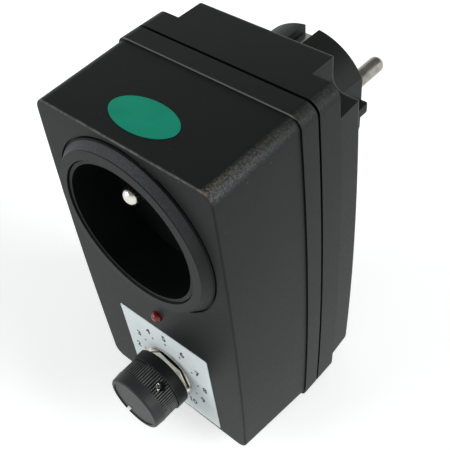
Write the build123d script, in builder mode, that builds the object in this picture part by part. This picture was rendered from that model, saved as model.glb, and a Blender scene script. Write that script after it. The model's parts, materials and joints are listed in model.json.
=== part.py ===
"""Plug-in power regulator for a soldering iron.

Millimetres, Z up. The front faces -Y, where the socket and the dial are, and
the mains plug points to +Y. X is zero on the middle plane and Z is zero at the
lowest line of the case, beside the seam. Depths are counted from the front face of the case, positive
towards the rear, and front_y puts the middle of the whole depth at Y zero.
"""

import math
import os

from build123d import *

os.makedirs("parts", exist_ok=True)

# Case: the bow of each side, how far the underside climbs, the top falls and
# the sides lean in from the seam to the front, the long edges and the walls
side_bow = 1.5
front_rise = 6.5
front_fall = 1.0
front_draft = 0.6
case_edge = 3.6
wall = 2.2

# Case: its stretches from the raised band of the front shell to the rear face
band_depth = 5.7
band_lift = 0.35
seam_gap = 0.8
rim_depth = 7.6
block_depth = 9.4

# Circuit board: its lower edge, its length and its front side
board_low = 10.8
board_length = 50.0
board_front = 16.0

# Mains socket and plug, which share one height. The cup of the socket stands
# over the board, and the disc of the plug fits a socket like this one.
socket_rise = 3.4
socket_radius = 20.0
socket_floor = 12.3
floor_thickness = 2.5
contact_length = 16.6
pin_spacing = 19.0
pin_radius = 2.4
pin_length = 19.0
contact_bore = 2.45
plug_play = 1.3
plug_reach = 18.9
notch_depth = 3.4
earth_inset = 5.0

# Collar round the socket, the cup inside it, and how far the case reaches
# past the foot of the collar: at the sides, at the top and behind the contacts
collar_height = 2.7
collar_top_width = 2.55
collar_flare = 1.8
groove_width = 0.5
groove_depth = 0.6
cup_wall = 0.9
cup_gap = 0.35
cup_setback = 0.5
side_reach = 2.9
top_reach = 2.7
rear_reach = 2.3

# Dial: its height, and the pieces stacked under the knob
dial_height = 23.2
dial_turn = 300
label_thickness = 0.15
washer_thickness = 0.5
nut_height = 2.0
knob_clearance = 0.35
knob_length = 12.6
knurl_radius = 9.4
spindle_radius = 3.0

# Angles in the plane of the front: straight up, straight down and a full turn
up_angle = 90
down_angle = 270
full_turn = 360

# Clearances: of a turning fit, between parts that are pushed together, and
# what every cut runs past the surface that it breaks through
turning_gap = 0.05
push_gap = 0.15
overrun = 1.0

# Sizes that follow, of the socket, the plug and the case round them
cup_radius = socket_radius + cup_wall
collar_hole_radius = cup_radius + cup_gap
collar_top_radius = collar_hole_radius + collar_top_width
collar_foot_radius = collar_top_radius + collar_flare
plug_radius = socket_radius - plug_play
notch_floor = plug_radius - notch_depth
earth_offset = notch_floor - earth_inset
board_high = board_low + board_length
socket_height = board_high + socket_rise + cup_radius
earth_height = socket_height + earth_offset
case_height = socket_height + collar_foot_radius + top_reach
half_width = collar_foot_radius + side_reach

# Depths that follow
floor_rear = socket_floor + floor_thickness
contact_rear = floor_rear + contact_length
front_depth = contact_rear + rear_reach
rear_start = front_depth + seam_gap
seam_middle = front_depth + seam_gap / 2
block_start = rear_start + rim_depth
case_depth = block_start + block_depth
back_inside = case_depth - wall
plug_face = case_depth + plug_reach
pin_tip = plug_face + pin_length
knob_gap = label_thickness + washer_thickness + nut_height + knob_clearance
knob_face = knob_gap + knob_length
front_y = (knob_face - pin_tip) / 2
half_spacing = pin_spacing / 2
top_height = case_height + band_lift


def at(depth):
    """Upright plane at a depth. Its axes are X and Z, and it extrudes to the front."""
    return Plane.XZ.offset(-(front_y + depth))


def half_width_at(height):
    """Half the width of the bowed case at a height."""
    middle = case_height / 2
    distance_share = (height - middle) / middle
    return half_width + side_bow - side_bow * distance_share**2


def lean(reach, depth):
    """What is left of a reach at a depth: all of it in front and none at the seam."""
    return reach * (1 - depth / front_depth)


def case_outline(sketch, inset, floor, top, corner):
    """Outline of the case with bowed sides, drawn inwards by an inset."""
    middle = (floor + top) / 2
    low, bow, high = [half_width_at(height) - inset for height in (floor, middle, top)]
    with BuildLine() as edge:
        Line((-low, floor), (low, floor))
        ThreePointArc((low, floor), (bow, middle), (high, top))
        Line((high, top), (-high, top))
        ThreePointArc((-high, top), (-bow, middle), (-low, floor))
    make_face(edge.edges())
    fillet(sketch.vertices(), corner)


def turn(x, z, points, mode=Mode.ADD):
    """Turn an outline of radii and depths about a line from front to rear."""
    with BuildSketch(Plane((x, front_y, z))) as profile:
        with BuildLine():
            Polyline(*points, close=True)
        make_face()
    revolve(profile.sketch, axis=Axis((x, front_y, z), (0, 1, 0)), mode=mode)


def rod(places, radius, front, rear, mode=Mode.ADD):
    """Round rods or holes from one depth to another."""
    with BuildSketch(at(rear)) as section:
        with Locations(*places):
            Circle(radius)
    extrude(section.sketch, amount=rear - front, mode=mode)


def block(left, right, low, high, front, rear, mode=Mode.ADD):
    """Block between two sides, two heights and two depths."""
    with BuildSketch(at(rear)) as section:
        with Locations(((left + right) / 2, (low + high) / 2)):
            Rectangle(right - left, high - low)
    extrude(section.sketch, amount=rear - front, mode=mode)


def strip(points, x, width, thickness):
    """Bent metal strip, from a line of depths and heights on its middle."""
    with BuildSketch(Plane.YZ.offset(x - width / 2)) as section:
        with BuildLine():
            Polyline(*[(front_y + depth, height) for depth, height in points])
        trace(line_width=thickness)
    extrude(section.sketch, amount=width)


def save(part, name):
    """Write one finished piece under its own name."""
    part.part.label = name
    export_step(part.part, f"parts/{name}.step")


# Screws of the case: their places and the columns that they pass through. The
# upper two columns stand beside the flange of the plug.
flange_lip = 2.1
flange_radius = plug_radius + flange_lip
case_screw_inset = 7.0
case_screw_rise = 15.3
case_screw_radius = 1.5
case_head_radius = 2.75
case_head_height = 2.2
case_head_setback = 2.5
case_screw_length = 22.8
boss_radius = 3.5
column_radius = 4.2
column_gap = 0.494
screw_gap = 0.2
screw_bite = 0.4
case_screw_x = half_width - case_screw_inset
column_distance = flange_radius + column_radius + column_gap
upper_screw_rise = math.sqrt(column_distance**2 - case_screw_x**2)
case_screw_places = [
    (side * case_screw_x, height)
    for side in (-1, 1)
    for height in (case_screw_rise, socket_height + upper_screw_rise)
]
head_front = case_depth - case_head_setback - case_head_height
case_screw_end = head_front - case_screw_length

# Tongue of the rear shell, which slides into a rebate of the front shell
tongue_length = 3.0
tongue_inset = wall / 2

# Posts that the ears of the socket cup are screwed to
ear_thickness = 2.2
post_radius = 2.2
post_gap = 0.5
insert_screw_radius = 1.25
ear_front = socket_floor - ear_thickness
insert_screw_x = cup_radius + post_gap + post_radius
insert_screw_places = [(-insert_screw_x, socket_height), (insert_screw_x, socket_height)]

# Circuit board between the two lower screws of the case, and the posts under it
board_thickness = 1.6
board_side_gap = 1.2
board_screw_radius = 1.1
board_screw_inset = 3.0
board_screw_drop = 4.0
board_screw_share = 0.36
board_half_width = case_screw_x - boss_radius - board_side_gap
board_screw_x = board_half_width - board_screw_inset
board_screw_step = board_screw_share * board_length
board_rear = board_front + board_thickness
board_screw_places = [
    (side * board_screw_x, board_high - board_screw_drop - drop)
    for side in (-1, 1)
    for drop in (0, board_screw_step)
]

# Dial label, and the openings of the front: the bush of the potentiometer and
# the indicator lamp, which sits between the label and the collar
scale_label_width = 34.4
scale_label_length = 35.0
scale_label_rise = 7.6
scale_label_aside = 0.7
scale_label_turn = 1.8
bush_radius = 4.95
bush_hole_radius = bush_radius + push_gap
lamp_radius = 1.6
lamp_share = 0.42
label_high = scale_label_rise + scale_label_length
lamp_height = label_high + lamp_share * (socket_height - collar_foot_radius - label_high)
lamp_hole_radius = lamp_radius + push_gap
front_edge = 0.5

with BuildPart() as front_shell:
    for depth in (front_depth, 0):
        with BuildSketch(at(depth)) as outline:
            inset, floor = lean(front_draft, depth), lean(front_rise, depth)
            case_outline(outline, inset, floor, case_height - lean(front_fall, depth), case_edge)
    loft(ruled=True)
    fillet(front_shell.faces().sort_by(Axis.Y)[0].edges(), front_edge)
    with BuildSketch(at(front_depth)) as outline:
        case_outline(outline, -band_lift, 0, top_height, case_edge)
    extrude(amount=band_depth)
    collar = [
        (0, wall),
        (collar_foot_radius, wall),
        (collar_foot_radius, 0),
        (collar_top_radius, -collar_height),
        (0, -collar_height),
    ]
    turn(0, socket_height, collar)
    groove = [
        (collar_foot_radius, -overrun),
        (collar_foot_radius, groove_depth),
        (collar_foot_radius + groove_width, groove_depth),
        (collar_foot_radius + groove_width, -overrun),
    ]
    turn(0, socket_height, groove, Mode.SUBTRACT)
    for depth in (front_depth, wall):
        with BuildSketch(at(depth)) as outline:
            inset, floor = wall + lean(front_draft, depth), wall + lean(front_rise, depth)
            top = case_height - wall - lean(front_fall, depth)
            case_outline(outline, inset, floor, top, case_edge - wall)
    loft(ruled=True, mode=Mode.SUBTRACT)
    with BuildSketch(at(front_depth)) as outline:
        rebate = tongue_inset
        case_outline(outline, rebate, rebate, case_height - rebate, case_edge - rebate)
    extrude(amount=tongue_length, mode=Mode.SUBTRACT)
    rod(case_screw_places, boss_radius, wall, seam_middle)
    rod(insert_screw_places, post_radius, wall, ear_front)
    rod(board_screw_places, post_radius, wall, board_front)
    cut = Mode.SUBTRACT
    rod([(0, socket_height)], collar_hole_radius, -collar_height - overrun, wall + overrun, cut)
    rod([(0, dial_height)], bush_hole_radius, -overrun, wall + overrun, cut)
    rod([(0, lamp_height)], lamp_hole_radius, -overrun, wall + overrun, cut)
    rod(case_screw_places, case_screw_radius, case_screw_end - screw_bite, seam_middle + overrun, cut)
    rod(insert_screw_places, insert_screw_radius, wall, ear_front + overrun, cut)
    rod(board_screw_places, board_screw_radius, wall, board_front + overrun, cut)
save(front_shell, "front_shell")

# Rear shell: a rim behind the seam, then a drafted block with a step at each
# upper corner, which holds the plug
block_inset = 0.5
block_rise = 4.6
block_edge = 1.6
step_margin = 2.3
step_drop = 9.0
step_round = 3.5
flange_thickness = 2.8
flange_front = back_inside - flange_thickness
step_half = plug_radius + step_margin
step_height = case_height - step_drop
rear_inset = block_inset + wall
rim_inside = block_start - wall

with BuildPart() as rear_shell:
    with BuildSketch(at(block_start)) as outline:
        case_outline(outline, 0, block_rise, case_height, case_edge)
    with BuildSketch(at(case_depth)) as outline:
        low = block_rise + block_inset
        case_outline(outline, block_inset, low, case_height - block_inset, case_edge)
    loft(ruled=True)
    block(-step_half, step_half, step_height, top_height, block_start, case_depth)
    for side in (-1, 1):
        with BuildSketch(at(case_depth + overrun)) as shoulder:
            with Locations((side * (step_half + half_width / 2), step_height + top_height / 2)):
                Rectangle(half_width, top_height)
            corner = shoulder.vertices().sort_by_distance((side * step_half, step_height))[0]
            fillet(corner, step_round)
        extrude(amount=block_depth + overrun, mode=Mode.SUBTRACT)
    fillet(rear_shell.faces().sort_by(Axis.Y)[-1].edges(), block_edge)
    with BuildSketch(at(block_start)) as outline:
        case_outline(outline, -band_lift, 0, top_height, case_edge)
    extrude(amount=rim_depth)
    with BuildSketch(at(rear_start)) as outline:
        tongue = tongue_inset + push_gap
        case_outline(outline, tongue, tongue, case_height - tongue, case_edge - tongue)
    extrude(amount=seam_gap + tongue_length - push_gap)
    with BuildSketch(at(rim_inside)) as outline:
        case_outline(outline, wall, wall, case_height - wall, case_edge - wall)
    extrude(amount=rim_inside - front_depth + tongue_length + overrun, mode=Mode.SUBTRACT)
    with BuildSketch(at(back_inside)) as outline:
        low = block_rise + rear_inset
        case_outline(outline, rear_inset, low, step_height - wall, case_edge - wall)
    extrude(amount=back_inside - rim_inside, mode=Mode.SUBTRACT)
    pocket = step_half - wall
    block(-pocket, pocket, socket_height, case_height - wall, rim_inside, back_inside, cut)
    rod(case_screw_places, column_radius, seam_middle, back_inside)
    rod(case_screw_places, case_screw_radius + screw_gap, seam_middle, case_depth, cut)
    rod(case_screw_places, case_head_radius + screw_gap, head_front, case_depth + overrun, cut)
    rod([(0, socket_height)], plug_radius + push_gap, back_inside, case_depth + overrun, cut)
save(rear_shell, "rear_shell")

with BuildPart() as case_screws:
    recess_radius = 1.2
    recess_depth = 1.3
    head_rear = head_front + case_head_height
    for x, z in case_screw_places:
        screw = [
            (0, case_screw_end),
            (case_screw_radius, case_screw_end),
            (case_screw_radius, head_front),
            (case_head_radius, head_front),
            (case_head_radius, head_rear),
            (recess_radius, head_rear),
            (0, head_rear - recess_depth),
        ]
        turn(x, z, screw)
save(case_screws, "case_screws")

# Socket: a cup with a thick floor, two ears and a tube behind each hole
ear_half_length = 2.6
ear_half_height = 3.2
tube_wall = 1.4
entry_gap = 0.3
contact_gap = 0.2
contact_wall = 0.95
stud_radius = 3.0
contact_radius = contact_bore + contact_wall
tube_bore = contact_radius + contact_gap
contact_places = [(-half_spacing, socket_height), (half_spacing, socket_height)]
cover_screw_radius = 1.1
shank_step = 0.4
shank_radius = pin_radius - shank_step

with BuildPart() as socket_insert:
    cup = [
        (0, socket_floor),
        (socket_radius, socket_floor),
        (socket_radius, cup_setback - collar_height),
        (cup_radius, cup_setback - collar_height),
        (cup_radius, floor_rear),
        (0, floor_rear),
    ]
    turn(0, socket_height, cup)
    with BuildSketch(at(socket_floor)) as ears:
        with Locations((0, socket_height)):
            SlotOverall(2 * (insert_screw_x + ear_half_length), 2 * ear_half_height)
            Circle(socket_radius + cup_wall / 2, mode=Mode.SUBTRACT)
    extrude(amount=ear_thickness)
    rod(contact_places, tube_bore + tube_wall, floor_rear, contact_rear)
    rod([(0, socket_height)], stud_radius, floor_rear, contact_rear)
    rod(contact_places, tube_bore, floor_rear, contact_rear + overrun, cut)
    rod(contact_places, pin_radius + entry_gap, socket_floor - overrun, floor_rear + overrun, cut)
    rod([(0, earth_height)], shank_radius, socket_floor - overrun, floor_rear + overrun, cut)
    rod([(0, socket_height)], cover_screw_radius, floor_rear, contact_rear + overrun, cut)
    rod(insert_screw_places, insert_screw_radius, ear_front - overrun, socket_floor + overrun, cut)
save(socket_insert, "socket_insert")

small_head_reach = 1.1
small_head_height = 1.4
post_depth = wall + screw_bite

with BuildPart() as insert_screws:
    head = insert_screw_radius + small_head_reach
    rod(insert_screw_places, insert_screw_radius, post_depth, socket_floor)
    rod(insert_screw_places, head, socket_floor, socket_floor + small_head_height)
save(insert_screws, "insert_screws")

# Contacts of the socket: slit tubes closed by a tag that carries a wire
slit_width = 1.0
slit_share = 0.75
tag_thickness = 0.8
tag_half_width = 3.0
tag_drop = 9.5
tail_length = 5.8
tag_rear = contact_rear + tag_thickness
tail_low = socket_height - tag_drop
tail_high = tail_low + tag_thickness

for side, name in ((-1, "socket_contact_left"), (1, "socket_contact_right")):
    x = side * half_spacing
    with BuildPart() as contact:
        tube = [
            (contact_bore, floor_rear),
            (contact_radius, floor_rear),
            (contact_radius, contact_rear),
            (contact_bore, contact_rear),
        ]
        turn(x, socket_height, tube)
        slit_end = floor_rear + slit_share * contact_length
        slit_top = socket_height + contact_radius + overrun
        block(x - slit_width / 2, x + slit_width / 2, socket_height, slit_top, floor_rear, slit_end, cut)
        left, right = x - tag_half_width, x + tag_half_width
        block(left, right, tail_low, socket_height + contact_radius, contact_rear, tag_rear)
        block(left, right, tail_low, tail_high, tag_rear, tag_rear + tail_length)
    save(contact, name)

cover_thickness = 1.8
cover_half_height = 6.2
cover_margin = 6.0
cover_rear = tag_rear + cover_thickness

with BuildPart() as contact_cover:
    with BuildSketch(at(cover_rear)) as plate:
        with Locations((0, socket_height)):
            RectangleRounded(
                2 * (half_spacing + cover_margin), 2 * cover_half_height, cover_half_height / 2
            )
            Circle(cover_screw_radius, mode=Mode.SUBTRACT)
    extrude(amount=cover_thickness)
    rod([(0, socket_height)], stud_radius, contact_rear, tag_rear)
    rod([(0, socket_height)], cover_screw_radius, contact_rear, tag_rear, cut)
save(contact_cover, "contact_cover")

with BuildPart() as cover_screw:
    rod([(0, socket_height)], cover_screw_radius, floor_rear + screw_bite, cover_rear)
    head = cover_screw_radius + small_head_reach
    rod([(0, socket_height)], head, cover_rear, cover_rear + small_head_height)
save(cover_screw, "cover_screw")

# Earth pin of the socket: it stands on the floor of the cup, and a thinner
# shank passes through the floor to a round foot
earth_pin_length = 13.0
earth_tip_round = 1.9
shoulder_reach = 1.2
shoulder_depth = 1.2
earth_tip = socket_floor - earth_pin_length
shoulder_rear = floor_rear + shoulder_depth

with BuildPart() as socket_earth_pin:
    rod([(0, earth_height)], pin_radius, earth_tip, socket_floor)
    fillet(socket_earth_pin.faces().sort_by(Axis.Y)[0].edges(), earth_tip_round)
    rod([(0, earth_height)], shank_radius, socket_floor, floor_rear)
    rod([(0, earth_height)], pin_radius + shoulder_reach, floor_rear, shoulder_rear)
save(socket_earth_pin, "socket_earth_pin")

# Plug body: a round stub with two flats, a rib on each, two earth notches,
# and a flange that bears on the inside of the rear shell
flat_cut = 2.3
flat_half_height = 9.4
rib_half_height = 1.4
notch_width = 4.8
plug_edge = 0.7
flat_offset = plug_radius - flat_cut
plug_tube_recess = 2.0
plug_tube_wall = 0.8
plug_tube_bore_length = 16.0
plug_tube_radius = contact_bore + plug_tube_wall
plug_tube_rear = plug_face - plug_tube_recess
plug_tube_bottom = plug_tube_rear - plug_tube_bore_length

with BuildPart() as plug_body:
    stub = [
        (0, flange_front),
        (flange_radius, flange_front),
        (flange_radius, back_inside),
        (plug_radius, back_inside),
        (plug_radius, plug_face),
        (0, plug_face),
    ]
    turn(0, socket_height, stub)
    fillet(plug_body.faces().sort_by(Axis.Y)[-1].edges(), plug_edge)
    for side in (-1, 1):
        near, far = sorted((side * flat_offset, side * (plug_radius + overrun)))
        for low, high in ((-flat_half_height, -rib_half_height), (rib_half_height, flat_half_height)):
            block(near, far, socket_height + low, socket_height + high, case_depth, plug_face + overrun, cut)
    for side in (-1, 1):
        low, high = sorted((side * notch_floor, side * (flange_radius + overrun)))
        block(
            -notch_width / 2,
            notch_width / 2,
            socket_height + low,
            socket_height + high,
            flange_front - overrun,
            plug_face + overrun,
            cut,
        )
    rod(contact_places, shank_radius, flange_front - overrun, plug_face + overrun, cut)
    rod([(0, earth_height)], plug_tube_radius, flange_front - overrun, plug_tube_rear, cut)
    rod([(0, earth_height)], pin_radius + entry_gap, plug_tube_rear, plug_face + overrun, cut)
save(plug_body, "plug_body")

pin_head_reach = 1.0
pin_head_thickness = 2.0
pin_tail_radius = 1.6
pin_tail_length = 3.0
pin_tip_round = 1.9
pin_head_front = flange_front - pin_head_thickness
pin_tail_front = pin_head_front - pin_tail_length

for (x, z), name in zip(contact_places, ("plug_pin_left", "plug_pin_right")):
    with BuildPart() as plug_pin:
        rod([(x, z)], pin_radius, plug_face, pin_tip)
        fillet(plug_pin.faces().sort_by(Axis.Y)[-1].edges(), pin_tip_round)
        rod([(x, z)], shank_radius, flange_front, plug_face)
        rod([(x, z)], pin_radius + pin_head_reach, pin_head_front, flange_front)
        rod([(x, z)], pin_tail_radius, pin_tail_front, pin_head_front)
    save(plug_pin, name)

# Earth clip: one strip that lies in both notches and crosses inside the case
clip_thickness = 0.8
clip_width = 4.4
clip_setback = 0.6
clip_leg = notch_floor + clip_thickness / 2
clip_front = flange_front - clip_thickness / 2
clip_end = plug_face - clip_setback

with BuildPart() as earth_clip:
    clip_line = [
        (clip_end, socket_height + clip_leg),
        (clip_front, socket_height + clip_leg),
        (clip_front, socket_height - clip_leg),
        (clip_end, socket_height - clip_leg),
    ]
    strip(clip_line, 0, clip_width, clip_thickness)
save(earth_clip, "earth_clip")

with BuildPart() as plug_earth_contact:
    tube = [
        (0, flange_front),
        (plug_tube_radius, flange_front),
        (plug_tube_radius, plug_tube_rear),
        (contact_bore, plug_tube_rear),
        (contact_bore, plug_tube_bottom),
        (0, plug_tube_bottom),
    ]
    turn(0, earth_height, tube)
save(plug_earth_contact, "plug_earth_contact")

# Earth strap: from the foot of the socket's earth pin, over the contacts, to
# the clip of the plug
strap_thickness = 0.8
strap_width = 5.0
strap_rise = 8.0
strap_lap = 3.6
strap_height = earth_height + strap_rise
strap_front = shoulder_rear + strap_thickness / 2
strap_rear = clip_front - (clip_thickness + strap_thickness) / 2

with BuildPart() as earth_strap:
    strap_line = [
        (strap_front, earth_height - strap_lap),
        (strap_front, strap_height),
        (strap_rear, strap_height),
        (strap_rear, earth_height - strap_lap),
    ]
    strip(strap_line, 0, strap_width, strap_thickness)
save(earth_strap, "earth_strap")

# Potentiometer: a can on a bush, closed by a wafer with three pins, and the
# spindle with its rotor, which a stop in the can holds to the turn of the dial
can_radius = 12.0
can_depth = 10.5
can_wall = 0.6
bush_length = 5.4
bush_flange_radius = 6.4
bush_flange_thickness = 1.2
wafer_thickness = 1.4
wafer_setback = 0.4
rotor_inset = 2.1
rotor_thickness = 1.6
rotor_hub_radius = 4.4
rotor_hub_length = 1.2
rotor_gap = 0.4
tab_half_angle = 12.0
stop_gap_angle = 0.5
can_bore = can_radius - can_wall
rotor_radius = can_bore - rotor_inset
can_rear = wall + can_depth
bush_bore = spindle_radius + turning_gap
bush_rear = wall + can_wall + bush_flange_thickness
hub_front = bush_rear + rotor_gap
rotor_front = hub_front + rotor_hub_length
rotor_rear = rotor_front + rotor_thickness
wafer_rear = can_rear - wafer_setback
wafer_front = wafer_rear - wafer_thickness
stop_inner = rotor_radius + rotor_gap
tab_outer = can_bore - rotor_gap
rest_angle = up_angle + dial_turn / 2
stop_half_angle = (full_turn - dial_turn) / 2 - tab_half_angle - stop_gap_angle


def sector(inner, outer, middle_angle, half_angle, front, rear):
    """Piece of a ring round the spindle, from one depth to another."""
    reach = 2 * outer
    rays = [middle_angle - half_angle, middle_angle + half_angle]
    with BuildSketch(at(rear)) as section:
        with Locations((0, dial_height)):
            Circle(outer)
            Circle(inner, mode=Mode.SUBTRACT)
        corners = [
            (reach * math.cos(math.radians(ray)), dial_height + reach * math.sin(math.radians(ray)))
            for ray in rays
        ]
        with BuildLine():
            Polyline((0, dial_height), *corners, close=True)
        make_face(mode=Mode.INTERSECT)
    extrude(section.sketch, amount=rear - front)


with BuildPart() as potentiometer_can:
    can = [
        (bush_radius, wall),
        (can_radius, wall),
        (can_radius, can_rear),
        (can_bore, can_rear),
        (can_bore, wall + can_wall),
        (bush_radius, wall + can_wall),
    ]
    turn(0, dial_height, can)
    sector(stop_inner, can_bore, down_angle, stop_half_angle, wall + can_wall, rotor_rear)
save(potentiometer_can, "potentiometer_can")

with BuildPart() as potentiometer_bush:
    bush = [
        (bush_bore, wall - bush_length),
        (bush_radius, wall - bush_length),
        (bush_radius, wall + can_wall),
        (bush_flange_radius, wall + can_wall),
        (bush_flange_radius, bush_rear),
        (bush_bore, bush_rear),
    ]
    turn(0, dial_height, bush)
save(potentiometer_bush, "potentiometer_bush")

terminal_inset = 4.0
terminal_spacing = 5.0
terminal_width = 1.0

with BuildPart() as potentiometer_wafer:
    rod([(0, dial_height)], can_bore, wafer_front, wafer_rear)
save(potentiometer_wafer, "potentiometer_wafer")

with BuildPart() as potentiometer_terminals:
    with BuildSketch(at(board_front)):
        with Locations((0, dial_height - can_radius + terminal_inset)):
            with GridLocations(terminal_spacing, 0, 3, 1):
                Rectangle(terminal_width, terminal_width)
    extrude(amount=board_front - wafer_rear)
save(potentiometer_terminals, "potentiometer_terminals")

with BuildPart() as potentiometer_rotor:
    rotor = [
        (spindle_radius, hub_front),
        (rotor_hub_radius, hub_front),
        (rotor_hub_radius, rotor_front),
        (rotor_radius, rotor_front),
        (rotor_radius, rotor_rear),
        (spindle_radius, rotor_rear),
    ]
    turn(0, dial_height, rotor)
    sector(rotor_hub_radius, tab_outer, rest_angle, tab_half_angle, rotor_front, rotor_rear)
save(potentiometer_rotor, "potentiometer_rotor")

# Spindle, with a flat where the set screw of the knob bears
spindle_setback = 2.4
screw_turn = 50.0
screw_depth = 8.65
flat_height = 2.5
flat_length = 8.0
spindle_front = spindle_setback - knob_face


def facing(angle, distance):
    """Plane that looks out from the spindle at the height of the set screw."""
    ray = (math.cos(math.radians(angle)), 0, math.sin(math.radians(angle)))
    origin = (distance * ray[0], front_y - screw_depth, dial_height + distance * ray[2])
    return Plane(origin=origin, x_dir=(0, 1, 0), z_dir=ray)


with BuildPart() as potentiometer_spindle:
    rod([(0, dial_height)], spindle_radius, spindle_front, rotor_rear)
    with BuildSketch(facing(screw_turn, flat_height)):
        Rectangle(flat_length, 2 * spindle_radius)
    extrude(amount=spindle_radius, mode=Mode.SUBTRACT)
save(potentiometer_spindle, "potentiometer_spindle")

# Nut and washer that clamp the potentiometer to the front
washer_radius = 8.7
nut_corner_radius = 8.1
nut_turn = 44.0
washer_rear = -label_thickness
washer_front = washer_rear - washer_thickness

with BuildPart() as bush_washer:
    rod([(0, dial_height)], washer_radius, washer_front, washer_rear)
    rod([(0, dial_height)], bush_radius, washer_front - overrun, washer_rear + overrun, cut)
save(bush_washer, "bush_washer")

with BuildPart() as bush_nut:
    with BuildSketch(at(washer_front)):
        with Locations((0, dial_height)):
            RegularPolygon(nut_corner_radius, 6, rotation=nut_turn)
            Circle(bush_radius, mode=Mode.SUBTRACT)
    extrude(amount=nut_height)
save(bush_nut, "bush_nut")

# Knob: a plain skirt, a knurled band and a rounded cap with a sunk face. The
# reaches are past the knurl, and the insets are from it.
skirt_reach = 0.45
cap_reach = 0.1
face_inset = 0.2
dish_inset = 1.4
pointer_inset = 0.5
skirt_length = 3.6
knurl_length = 5.4
knurl_count = 72
knurl_width = 0.42
knurl_turn = 45
face_edge = 0.7
dish_depth = 0.3
insert_wall = 2.0
face_thickness = 2.2
nut_room_gap = 0.5
nut_room_depth = 1.2
set_screw_radius = 1.3
set_screw_gap = 0.1
skirt_radius = knurl_radius + skirt_reach
cap_radius = knurl_radius + cap_reach
face_radius = knurl_radius - face_inset
dish_radius = knurl_radius - dish_inset
insert_radius = spindle_radius + insert_wall
nut_room_radius = nut_corner_radius + nut_room_gap
skirt_front = -knob_gap - skirt_length
knurl_front = skirt_front - knurl_length
insert_front = face_thickness - knob_face
insert_rear = -knob_gap - nut_room_depth
pointer_angle = rest_angle
pointer_inner = 5.4
pointer_outer = knurl_radius - pointer_inset
pointer_width = 1.2
pointer_thickness = 0.5
pointer_setback = 0.1
pointer_front = pointer_setback - knob_face
pointer_rear = pointer_front + pointer_thickness


def pointer_bar(outer, front, rear, mode=Mode.ADD):
    """Bar on the knob's face, from near its centre out to a radius."""
    length = outer - pointer_inner
    with BuildSketch(at(rear)) as section:
        with Locations((0, dial_height)):
            with PolarLocations(pointer_inner + length / 2, 1, start_angle=pointer_angle):
                Rectangle(length, pointer_width)
    extrude(section.sketch, amount=rear - front, mode=mode)


with BuildPart() as knob:
    profile = [
        (insert_radius, insert_rear),
        (nut_room_radius, insert_rear),
        (nut_room_radius, -knob_gap),
        (skirt_radius, -knob_gap),
        (skirt_radius, skirt_front),
        (knurl_radius, skirt_front),
        (knurl_radius, knurl_front),
        (cap_radius, knurl_front),
        (face_radius, -knob_face),
        (0, -knob_face),
        (0, insert_front),
        (insert_radius, insert_front),
    ]
    turn(0, dial_height, profile)
    fillet(knob.faces().sort_by(Axis.Y)[0].edges(), face_edge)
    rod([(0, dial_height)], dish_radius, -knob_face - overrun, dish_depth - knob_face, cut)
    with BuildSketch(at(skirt_front)):
        with Locations((0, dial_height)):
            with PolarLocations(knurl_radius, knurl_count):
                Rectangle(knurl_width, knurl_width, rotation=knurl_turn)
    extrude(amount=knurl_length, mode=Mode.SUBTRACT)
    with BuildSketch(facing(screw_turn, 0)):
        Circle(set_screw_radius + set_screw_gap)
    extrude(amount=skirt_radius, mode=Mode.SUBTRACT)
    pointer_bar(cap_radius, -knob_face - overrun, pointer_rear, cut)
save(knob, "knob")

with BuildPart() as knob_insert:
    rod([(0, dial_height)], insert_radius, insert_front, insert_rear)
    rod([(0, dial_height)], spindle_radius, insert_front - overrun, insert_rear + overrun, cut)
    with BuildSketch(facing(screw_turn, 0)):
        Circle(set_screw_radius)
    extrude(amount=skirt_radius, mode=Mode.SUBTRACT)
save(knob_insert, "knob_insert")

set_screw_setback = 2.8
hex_radius = 0.8
hex_depth = 1.3
set_screw_end = knurl_radius - set_screw_setback

with BuildPart() as knob_set_screw:
    with BuildSketch(facing(screw_turn, flat_height)):
        Circle(set_screw_radius)
    extrude(amount=set_screw_end - flat_height)
    with BuildSketch(facing(screw_turn, set_screw_end - hex_depth)):
        RegularPolygon(hex_radius, 6)
    extrude(amount=hex_depth + overrun, mode=Mode.SUBTRACT)
save(knob_set_screw, "knob_set_screw")

with BuildPart() as knob_pointer:
    pointer_bar(pointer_outer, pointer_front, pointer_rear)
save(knob_pointer, "knob_pointer")

# Indicator lamp: a domed lens with a collar behind the wall, and two leads
lamp_reach = 1.7
lamp_collar_reach = 0.45
lamp_collar_thickness = 1.0
lead_width = 0.5
lead_spacing = 2.0
dome_gap = 0.1
lamp_rear = wall + lamp_collar_thickness
dome_round = lamp_radius - dome_gap

with BuildPart() as indicator_lens:
    rod([(0, lamp_height)], lamp_radius, -lamp_reach, wall)
    fillet(indicator_lens.faces().sort_by(Axis.Y)[0].edges(), dome_round)
    rod([(0, lamp_height)], lamp_radius + lamp_collar_reach, wall, lamp_rear)
save(indicator_lens, "indicator_lens")

with BuildPart() as indicator_leads:
    with BuildSketch(at(board_front)):
        with Locations((0, lamp_height)):
            with GridLocations(lead_spacing, 0, 2, 1):
                Rectangle(lead_width, lead_width)
    extrude(amount=board_front - lamp_rear)
save(indicator_leads, "indicator_leads")

# Labels: the square dial label, stuck on a little askew, and an oval one on the top
scale_label_corner = 0.6
oval_length = 20.4
oval_width = 10.9
oval_offset = -0.7
oval_depth = 9.6

with BuildPart() as scale_label:
    with BuildSketch(at(0)):
        with Locations((scale_label_aside, scale_label_rise + scale_label_length / 2)):
            RectangleRounded(
                scale_label_width,
                scale_label_length,
                scale_label_corner,
                rotation=scale_label_turn,
            )
        with Locations((0, dial_height)):
            Circle(bush_hole_radius, mode=Mode.SUBTRACT)
    extrude(amount=label_thickness)
save(scale_label, "scale_label")

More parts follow.
